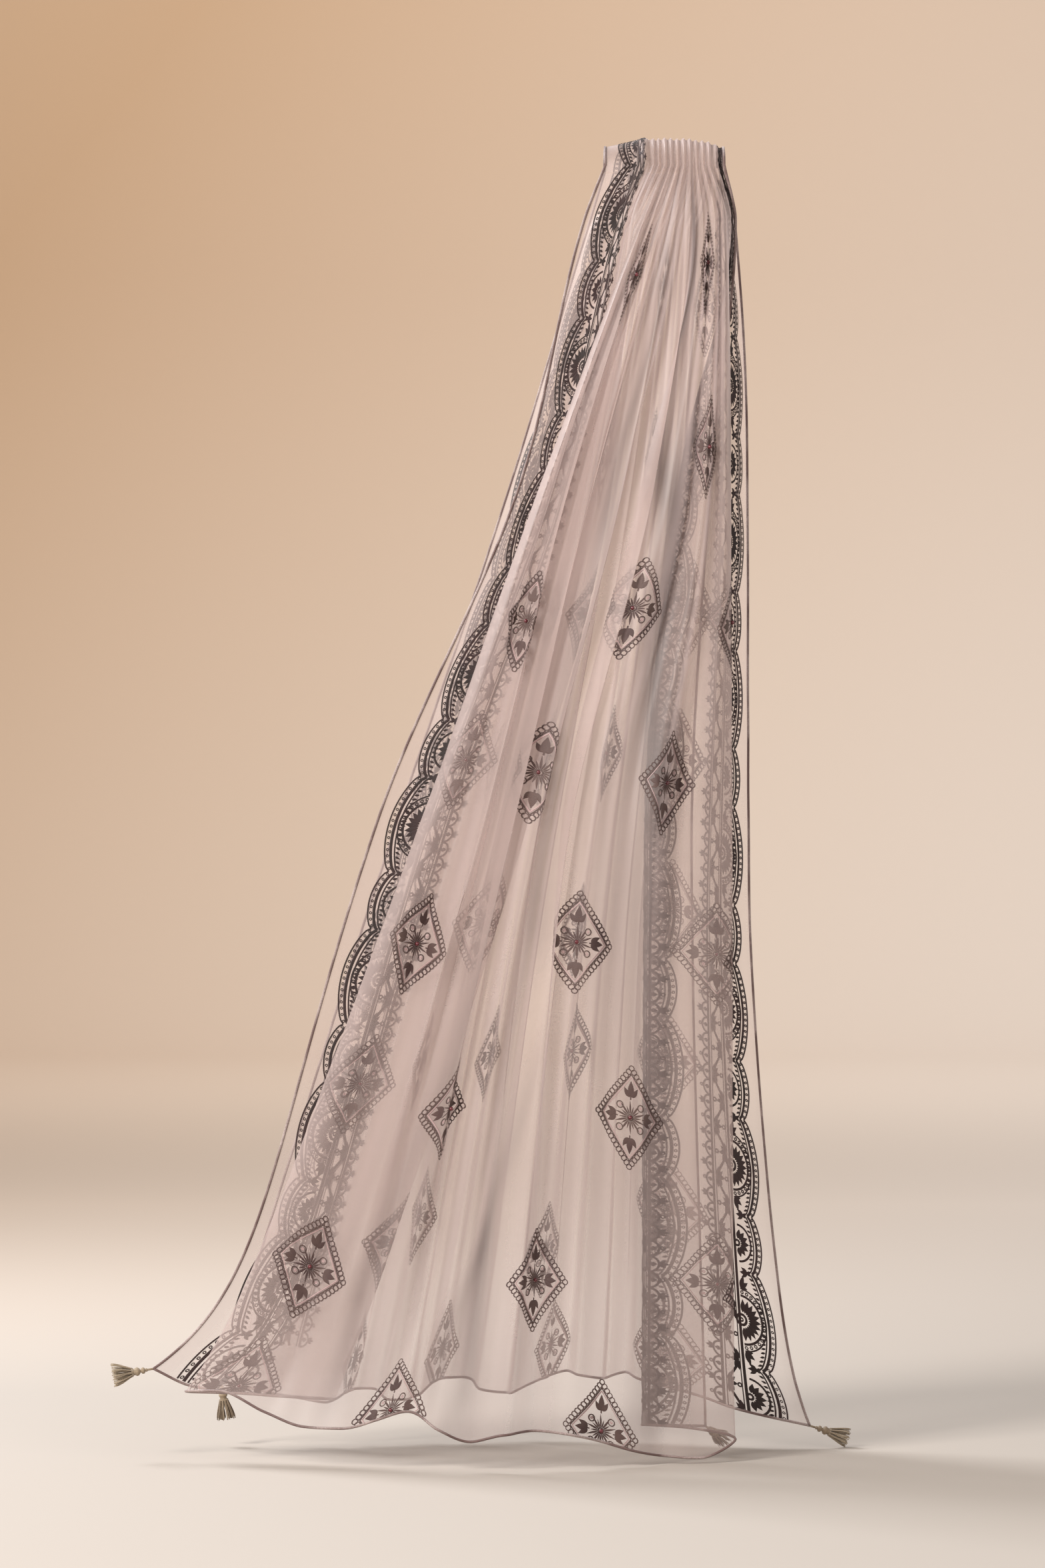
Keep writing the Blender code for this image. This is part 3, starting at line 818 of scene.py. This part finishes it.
def sprig_mesh():
    """One lozenge sprig: a looped edge, a fine inner line, a bud in each corner and a rayed flower."""
    bm = bmesh.new()
    half_x, half_y = LOZENGE_HALF
    corners = [(0, -half_y), (half_x, 0), (0, half_y), (-half_x, 0), (0, -half_y)]
    for start, end in zip(corners[:-1], corners[1:]):
        start, end = np.array(start), np.array(end)
        side = end - start
        for k in range(EDGE_LOOPS):
            ring(bm, start + side * k / EDGE_LOOPS, 2.6, 0.85, 10)
        for inset, width, thread in ((0.88, 0.95, DARK), (0.82, 0.7, PALE)):
            stroke(bm, line_path(start * inset, end * inset, 10), width, thread, False)
    for angle, reach in ((0, half_y), (90, half_x), (180, half_y), (270, half_x)):
        way = heading(angle)
        base = way * reach * 0.42
        stroke(bm, line_path(way * reach * 0.36, way * reach * 0.50, 2), 1.3)
        leaf(bm, base, angle, reach * 0.32, 6.2)
        for turn in (-1, 1):
            leaf(bm, base, angle + turn * 58, 10.0, 5.2, -turn * 0.35)
            leaf(bm, base, angle + turn * 24, 8.0, 2.2, -turn * 0.2, 5)
    for angle in (45, 135, 225, 315):
        way = heading(angle)
        ring(bm, way * 15.0, 3.2, 1.0, 12)
        ring(bm, way * 15.0, 1.0, 0.9, 6, PALE)
    for k in range(FLOWER_RAYS):
        long_ray = k % 2 == 0
        angle = 360 * k / FLOWER_RAYS
        way = heading(angle)
        leaf(bm, way * 2.6, angle, 13.5 if long_ray else 8.5, 1.9 if long_ray else 1.5, 0.05, 5)
    ring(bm, (0, 0), 2.7, 1.1, 12)
    show_through(bm)
    return mesh_of(bm, "sprig_flat")


def scallop(start, chord, bulge, inset, s):
    """Places on one scallop of the border, at shares of its length; it bulges towards the edge."""
    out = np.sin(math.pi * s) ** SCALLOP_POWER
    return np.stack([CUSP + inset - bulge * out, start + s * chord], axis=-1)


def fan(bm, centre, count, spread, start, length, width, taper, bend=0.0):
    """Leaves spread about a centre towards the cloth's edge, the middle one the longest."""
    for k in range(count):
        side = k - count // 2
        angle = -90 + side * spread
        base = np.array(centre) + heading(angle) * start
        leaf(bm, base, angle, length - abs(side) * taper, width, bend * side)


def border_mesh():
    """One repeat of the border: scallops, a palmette in each, a leafy vine and a row of bells."""
    look = bpy.context.scene.stole_thread
    bm = bmesh.new()
    for start, chord, bulge, steps in (
        (0.0, LARGE_SCALLOP, LARGE_BULGE, 30), (LARGE_SCALLOP, SMALL_SCALLOP, SMALL_BULGE, 20),
    ):
        along = np.linspace(0, 1, steps + 1)
        for inset, width, round_over in ((0.0, look.line, False), (6.4, 3.0, True), (10.6, 1.6, True)):
            stroke(bm, scallop(start, chord, bulge, inset, along), width, DARK, round_over)
        dots = int(chord / 5.4)
        for k in range(dots):
            ring(bm, scallop(start, chord, bulge, 3.0, (k + 0.5) / dots), 1.2, 0.9, 6)
        rays = int(chord / 4.4)
        for k in range(rays):
            s = (k + 0.5) / rays
            base = scallop(start, chord, bulge, 11.6, s)
            leaf(bm, base, 90 - 50 * (s - 0.5), 5.6, 2.4, 0.0, 4)
        leaf(bm, (CUSP + 11.0, start), 90, 11.0, 5.0)
        for turn in (-1, 1):
            leaf(bm, (CUSP + 13.0, start), 90 + turn * 42, 8.6, 3.8, -0.15 * turn)
    middle = LARGE_SCALLOP / 2
    fan(bm, (LARGE_FAN, middle), 11, 15.5, 8.0, 14.6, 5.6, 0.3, 0.03)
    stroke(bm, arc_path((LARGE_FAN, middle), 24.6, -178, -2, 26, 0.98), 2.4)
    stroke(bm, arc_path((LARGE_FAN, middle), 31.6, -178, -2, 30, 0.92), 1.6)
    for k in range(15):
        angle = math.radians(-174 + k * 12)
        place = (LARGE_FAN + 26.6 * math.sin(angle), middle + 28.2 * math.cos(angle))
        ring(bm, place, 1.5, 1.1, 7)
    ring(bm, (LARGE_FAN, middle), 5.4, 2.6, 16)
    ring(bm, (LARGE_FAN, middle), 1.7, 1.5, 8)
    for turn in (-1, 1):
        base = (SMALL_FAN, middle + turn * 33.0)
        for angle, length in ((-90 + turn * 62, 13.0), (-90 + turn * 24, 11.0), (-90 - turn * 14, 8.5)):
            leaf(bm, base, angle, length, 5.2, 0.12 * turn)
    middle = LARGE_SCALLOP + SMALL_SCALLOP / 2
    fan(bm, (SMALL_FAN, middle), 7, 25, 4.5, 11.0, 5.4, 0.4)
    stroke(bm, arc_path((SMALL_FAN, middle), 18.5, -176, -4, 20), 2.2)
    ring(bm, (SMALL_FAN, middle), 2.8, 2.2, 10)
    for across, width in ((53.0, 3.0), (56.4, 1.1), (71.2, 1.1), (74.6, 2.8)):
        stroke(bm, line_path((across, 0), (across, REPEAT), 36), width)
    down = np.linspace(0, REPEAT, 60)
    turn = 2 * math.pi * VINE_WAVES * down / REPEAT
    stroke(bm, np.stack([VINE + 5.2 * np.sin(turn), down], axis=1), 2.6)
    for k in range(VINE_WAVES * 2):
        place = (k + 0.5) * REPEAT / (VINE_WAVES * 2)
        side = 1 if k % 2 == 0 else -1
        base = (63.5 + 4.8 * side, place)
        for angle, length, width in ((0, 10.5, 5.0), (180, 10.5, 5.0), (-32, 8.5, 3.6), (212, 8.5, 3.6)):
            leaf(bm, base, angle * side if side > 0 else -angle, length, width, 0.10 * side)
        leaf(bm, base, -90 * side, 7.5, 4.4)
        ring(bm, (VINE - 5.0 * side, place), 1.8, 1.4, 10)
    pitch = REPEAT / BELLS
    for k in range(BELLS):
        place = (k + 0.5) * REPEAT / BELLS
        stroke(bm, arc_path((BELL, place), pitch / 2 - 0.4, 0, 180, 12, 1.05), 1.9, DARK, False)
        leaf(bm, (BELL + 0.2, place), 90, 6.0, 4.2)
        if k % 2 == 0:
            ring(bm, (BELL + 0.5 * pitch + 2.6, place), 1.5, 1.0, 8)
        else:
            base = (BELL + 0.5 * pitch, place)
            for angle in (58, 90, 122):
                leaf(bm, base, angle, 7.4 if angle == 90 else 6.0, 3.2, 0.0, 5)
    show_through(bm)
    return mesh_of(bm, "border_flat")


def add_copy(bm, motif, across, down, mirror=False):
    """Adds one copy of a motif at a place on the flat cloth, turned over from left to right or not."""
    before_verts, before_faces = len(bm.verts), len(bm.faces)
    bm.from_mesh(motif)
    bm.verts.ensure_lookup_table()
    bm.faces.ensure_lookup_table()
    fresh = bm.verts[before_verts:]
    if mirror:
        bmesh.ops.scale(bm, vec=(-1, 1, 1), verts=fresh)
        bmesh.ops.reverse_faces(bm, faces=bm.faces[before_faces:])
    bmesh.ops.translate(bm, verts=fresh, vec=(across * MM, down * MM, 0))


# Operators

class STOLE_OT_cloth(bpy.types.Operator):
    """Makes the sheer cloth of both falls and the stretch over the support"""
    bl_idname = "stole.cloth"
    bl_label = "Cloth"

    def execute(self, context):
        organza = organza_material(context.scene.stole_cloth)
        for fall, nodes in (("front", ("front_fall", "hand_fold")), ("back", ("back_fall",))):
            form = form_of(fall)
            rows, columns = form["points"].shape[:2]
            bm = bmesh.new()
            bm.loops.layers.uv.new("flat")
            bmesh.ops.create_grid(bm, x_segments=columns - 1, y_segments=rows - 1, size=GRID_HALF,
                                  calc_uvs=True)
            if form["turn"] < 0:
                bmesh.ops.reverse_faces(bm, faces=bm.faces)
            mesh = mesh_of(bm, fall + "_cloth")
            place = np.empty(len(mesh.vertices) * 3)
            mesh.vertices.foreach_get("co", place)
            place = place.reshape(-1, 3)
            column = grid_step(place[:, 0], columns - 1)
            row = grid_step(place[:, 1], rows - 1)
            mesh.vertices.foreach_set("co", form["points"][row, column].ravel())
            corner = np.empty(len(mesh.loops), dtype=np.int32)
            mesh.loops.foreach_get("vertex_index", corner)
            flat = np.stack([form["across"][column], form["down"][row]], axis=1)
            mesh.uv_layers["flat"].data.foreach_set("uv", flat[corner].ravel())
            # Painted shade and painted light of the listed lines, kept in the shade attribute for the
            # cloth's colour
            shade = soft_lines(PAINTED_SHADE_AND_LIGHT, fall, form["across"], form["down"])[row, column]
            mesh.attributes.new("shade", "FLOAT", "POINT").data.foreach_set("value", shade)
            mesh.update()
            piece = piece_of(fall + "_cloth", mesh, [organza])
            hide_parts(*nodes)
        return {"FINISHED"}


class STOLE_OT_hem(bpy.types.Operator):
    """Makes the narrow rolled hem round the cloth"""
    bl_idname = "stole.hem"
    bl_label = "Rolled hem"

    def execute(self, context):
        look = context.scene.stole_cloth
        material = thread_material("hem_roll", look.hem, look.shade, 0.6, 0.3)
        for fall in ("front", "back"):
            form = form_of(fall)
            bm = bmesh.new()
            points, out = form["points"], form["out"]
            for edge in ((slice(None), 0), (slice(None), -1), (-1, slice(None))):
                wrap_tube(bm, points[edge], look.hem_radius, 6, out[edge])
            close_ends(bm)
            piece_of(fall + "_rolled_hem", mesh_of(bm, fall + "_rolled_hem"), [material])
        return {"FINISHED"}


class STOLE_OT_border(bpy.types.Operator):
    """Embroiders the scalloped border down both long edges"""
    bl_idname = "stole.border"
    bl_label = "Embroidered border"

    def execute(self, context):
        look = context.scene.stole_thread
        threads = [thread_material("dark_thread", look.dark, look.wine, 0.7, 0.04)]
        motif = border_mesh()
        for fall in ("front", "back"):
            form = form_of(fall)
            first = -1 if fall == "front" else 0
            count = math.ceil(FALL_LENGTH / (REPEAT * MM))
            for edge in ("left", "right"):
                bm = bmesh.new()
                for k in range(first, count):
                    shift = 0.0 if fall == "front" else BACK_SHIFT * REPEAT
                    if edge == "left":
                        add_copy(bm, motif, 0.0, k * REPEAT + shift)
                    else:
                        add_copy(bm, motif, CLOTH_WIDTH / MM, (k + RIGHT_SHIFT) * REPEAT + shift, True)
                name = fall + "_border_" + edge
                piece_of(name, laid_mesh(bm, name, form), threads)
        return {"FINISHED"}


class STOLE_OT_sprigs(bpy.types.Operator):
    """Embroiders the scattered lozenge sprigs and sews a bead in each"""
    bl_idname = "stole.sprigs"
    bl_label = "Lozenge sprigs"

    def execute(self, context):
        look = context.scene.stole_thread
        threads = [thread_material("brown_thread", look.brown, look.wine, 0.65, 0.1),
                   thread_material("pale_thread", look.pale, look.pale, 0.45, 0.4)]
        beads = bead_material()
        motif = sprig_mesh()
        for fall, places in (("front", FRONT_SPRIGS), ("back", BACK_SPRIGS)):
            form = form_of(fall)
            bm, dots = bmesh.new(), bmesh.new()
            for across, down in places:
                add_copy(bm, motif, across, down)
                if down * MM > FALL_LENGTH - BEAD_MARGIN:
                    continue
                centre = lay(form, np.array([[across * MM, down * MM, BEAD_LIFT]]))[0]
                bmesh.ops.create_icosphere(dots, subdivisions=2, radius=BEAD_RADIUS,
                                           matrix=Matrix.Translation(Vector(centre)))
            name = fall + "_sprigs"
            piece_of(name, laid_mesh(bm, name, form), threads)
            name = fall + "_sprig_beads"
            piece_of(name, mesh_of(dots, name), [beads])
        return {"FINISHED"}


class STOLE_OT_tassels(bpy.types.Operator):
    """Makes the tassel at each corner: cord, bead, bound head and threads"""
    bl_idname = "stole.tassels"
    bl_label = "Tassels"

    def execute(self, context):
        look = context.scene.stole_tassel
        thread = thread_material("tassel_thread", look.colour, look.light, 0.7, 0.35)
        for number, (name, fall, edge, way, flare) in enumerate(TASSEL_TABLE):
            draw = np.random.default_rng(40 + number)
            bm = bmesh.new()
            self.turned_body(bm)
            for k in range(look.strands):
                self.strand(bm, look, draw, k / look.strands, flare)
            self.cord(bm)
            close_ends(bm)
            aim = Vector(way).normalized()
            corner = Vector(form_of(fall)["points"][-1, edge])
            turn = aim.to_track_quat("-Z", "Y").to_matrix().to_4x4()
            place = Matrix.Translation(corner + aim * TASSEL_GAP) @ turn
            bmesh.ops.transform(bm, matrix=place, verts=bm.verts)
            piece = piece_of("tassel_" + name + "_threads", mesh_of(bm, "tassel_" + name), [thread])
            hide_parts("tassel_" + name)
        return {"FINISHED"}

    @staticmethod
    def turned_body(bm):
        """Bead, bound head and waist, turned about the tassel's axis."""
        rim = [bm.verts.new((radius * MM, 0.0, -depth * MM)) for radius, depth in TASSEL_PROFILE]
        line = ([bm.verts.new((0.0, 0.0, rim[0].co.z))] + rim
                + [bm.verts.new((0.0, 0.0, rim[-1].co.z))])
        edges = [bm.edges.new(pair) for pair in zip(line[:-1], line[1:])]
        bmesh.ops.spin(bm, geom=line + edges, cent=(0, 0, 0), axis=(0, 0, 1), angle=2 * math.pi,
                       steps=28, use_merge=True)
        bmesh.ops.remove_doubles(bm, verts=bm.verts, dist=0.01 * MM)

    @staticmethod
    def cord(bm):
        """Two twisted plies from the corner to the bead."""
        s = np.linspace(0, 1, 26)
        for start in (0.0, math.pi):
            turn = start + 2 * math.pi * CORD_TURNS * s
            path = np.stack([0.55 * np.cos(turn), 0.55 * np.sin(turn), -6.0 * s + 0.6], axis=1) * MM
            wrap_tube(bm, path, 0.62 * MM, 6, np.array([0.0, 1.0, 0.0]))

    @staticmethod
    def strand(bm, look, draw, share, wide):
        """One thread of the skirt, flaring out and waving a little."""
        angle = 2 * math.pi * (share * 13.0 + draw.uniform(-0.02, 0.02))
        root = 4.0 * math.sqrt(draw.uniform(0.05, 1.0))
        length = look.length * draw.uniform(0.93, 1.06)
        s = np.linspace(0, 1, 9)
        flare = root * (1 + 1.05 * wide * np.sin(0.5 * math.pi * s) ** 1.2 + 0.22 * wide * s * s)
        sway = draw.uniform(-0.9, 0.9) * s * s + 0.25 * np.sin(7 * s + draw.uniform(0, 6))
        x = flare * math.cos(angle) - sway * math.sin(angle)
        y = flare * math.sin(angle) + sway * math.cos(angle)
        path = np.stack([x * MM, y * MM, -SKIRT_TOP - length * s], axis=1)
        wrap_tube(bm, path, np.linspace(0.42, 0.28, 9) * MM, 4, np.array([0.0, 1.0, 0.0]))


class STOLE_OT_stage(bpy.types.Operator):
    """Makes the floor and backdrop, the camera, the lights and the surrounding light"""
    bl_idname = "stole.stage"
    bl_label = "Stage"

    floor_z = -1.2535
    centre = (-0.139, -0.08, -0.611)
    view_height = 1.4818

    def execute(self, context):
        look = context.scene.stole_stage
        self.sweep(look)
        self.camera(context, look)
        wall = (-0.2, 10.6, -1.2)
        for name, place, target, size, power, colour in (
            ("main_light", (-2.7, -2.9, 1.4), self.centre, 1.2, look.key, (1.0, 0.97, 0.94)),
            ("fill_light", (2.6, -2.6, 0.2), self.centre, 2.2, look.key * 0.16, (1.0, 0.96, 0.94)),
            ("back_light", (-1.9, 1.3, 1.2), self.centre, 1.2, look.key * 0.48, (0.93, 0.96, 1.0)),
            ("wall_light", (-0.2, 6.8, 3.3), wall, 3.0, look.key * 0.54, (1.0, 0.97, 0.94)),
        ):
            light = bpy.data.lights.new(name, "AREA")
            light.size = size
            light.energy = power
            light.color = colour
            lamp = put_in_scene(name, light)
            lamp.location = place
            aim = Vector(target) - Vector(place)
            lamp.rotation_euler = aim.to_track_quat("-Z", "Y").to_euler()
        world = bpy.data.worlds.new("studio_air")
        world.use_nodes = True
        air = world.node_tree.nodes["Background"]
        air.inputs["Color"].default_value = (1.0, 0.965, 0.935, 1.0)
        air.inputs["Strength"].default_value = 0.48
        context.scene.world = world
        context.scene.view_settings.view_transform = "Standard"
        context.scene.cycles.transparent_max_bounces = 48
        return {"FINISHED"}

    def sweep(self, look):
        """A pale floor that curves up into the backdrop far behind the stole, with painted light and
        shade in its colour.
        """
        front, start, radius, height, half = -10.0, 8.6, 2.0, 5.0, 12.0
        turn = np.linspace(0, math.pi / 2, 24)
        profile = [(front, 0.0)]
        profile += [(start + radius * math.sin(a), radius * (1 - math.cos(a))) for a in turn]
        profile.append((start + radius, height))
        bm = bmesh.new()
        made = bmesh.ops.create_grid(bm, x_segments=2, y_segments=len(profile) - 1, size=GRID_HALF)
        for vert in made["verts"]:
            y, z = profile[grid_step(vert.co.y, len(profile) - 1)]
            vert.co = (vert.co.x / GRID_HALF * half, y, self.floor_z + z)
        mesh = mesh_of(bm, "backdrop_sweep")
        material, tree, output = new_material("backdrop_paper_painted_light")
        place = add_node(tree, "TexCoord").outputs["Object"]
        part = add_node(tree, "SeparateXYZ", Vector=place).outputs
        # Painted light and shade: darker towards the top and left, paler towards the lower right, and
        # paler on the floor far back, where the lamps reach less
        rise = math_node(tree, "MULTIPLY", part["Z"], -0.22)
        slant = math_node(tree, "MULTIPLY", part["X"], 0.27)
        share = math_node(tree, "ADD", rise, slant)
        share = add_node(tree, "MapRange", Value=share, From_Min=-0.60, From_Max=0.70)
        tone = mix_colour(tree, share.outputs[0], tuple(look.backdrop), tuple(look.backdrop_painted_light))
        near = add_node(tree, "MapRange", Value=part["Y"], From_Min=3.5, From_Max=0.6)
        tone = mix_colour(tree, near.outputs[0], tone, tuple(look.floor))
        body = add_node(tree, "BsdfPrincipled", Base_Color=tone, Roughness=0.9)
        tree.links.new(body.outputs[0], output.inputs["Surface"])
        mesh.materials.append(material)
        put_in_scene("backdrop_sweep", mesh)

    def camera(self, context, look):
        """A level camera that frames the stole as the photograph does."""
        data = bpy.data.cameras.new("camera")
        data.sensor_width = 36.0
        data.lens = data.sensor_width * look.distance / self.view_height
        data.clip_end = 60.0
        camera = put_in_scene("camera", data)
        camera.location = Vector(self.centre) - Vector((0.0, look.distance, 0.0))
        camera.rotation_euler = (math.pi / 2, 0.0, 0.0)
        context.scene.camera = camera


class STOLE_OT_sheets(bpy.types.Operator):
    """Takes no step and leaves the scene as it is"""
    bl_idname = "stole.sheets"
    bl_label = "Cloth sizes"

    def execute(self, context):
        return {"FINISHED"}


class STOLE_PT_panel(bpy.types.Panel):
    """Lists the steps of the stole"""
    bl_label = "Stole"
    bl_idname = "STOLE_PT_panel"
    bl_space_type = "VIEW_3D"
    bl_region_type = "UI"
    bl_category = "Stole"

    def draw(self, context):
        for settings in (context.scene.stole_cloth, context.scene.stole_thread,
                         context.scene.stole_tassel, context.scene.stole_stage):
            box = self.layout.box()
            for key in settings.bl_rna.properties.keys():
                if key not in ("rna_type", "name"):
                    box.prop(settings, key)
        for step in STEPS:
            self.layout.operator(step.bl_idname)


STEPS = (
    STOLE_OT_cloth, STOLE_OT_hem, STOLE_OT_border, STOLE_OT_sprigs, STOLE_OT_tassels,
    STOLE_OT_sheets, STOLE_OT_stage,
)
SETTINGS = (
    ("stole_cloth", ClothSettings), ("stole_thread", ThreadSettings),
    ("stole_tassel", TasselSettings), ("stole_stage", StageSettings),
)


def register():
    """Registers the settings, the steps and the panel."""
    for name, group in SETTINGS:
        bpy.utils.register_class(group)
        setattr(bpy.types.Scene, name, PointerProperty(type=group))
    for made in STEPS + (STOLE_PT_panel,):
        bpy.utils.register_class(made)


def unregister():
    """Takes back what register adds."""
    for made in reversed(STEPS + (STOLE_PT_panel,)):
        bpy.utils.unregister_class(made)
    for name, group in reversed(SETTINGS):
        delattr(bpy.types.Scene, name)
        bpy.utils.unregister_class(group)


def main():
    """Builds the whole scene."""
    register()
    bpy.ops.stole.cloth()
    bpy.ops.stole.hem()
    bpy.ops.stole.border()
    bpy.ops.stole.sprigs()
    bpy.ops.stole.tassels()
    bpy.ops.stole.sheets()
    bpy.ops.stole.stage()


if __name__ == "__main__":
    main()
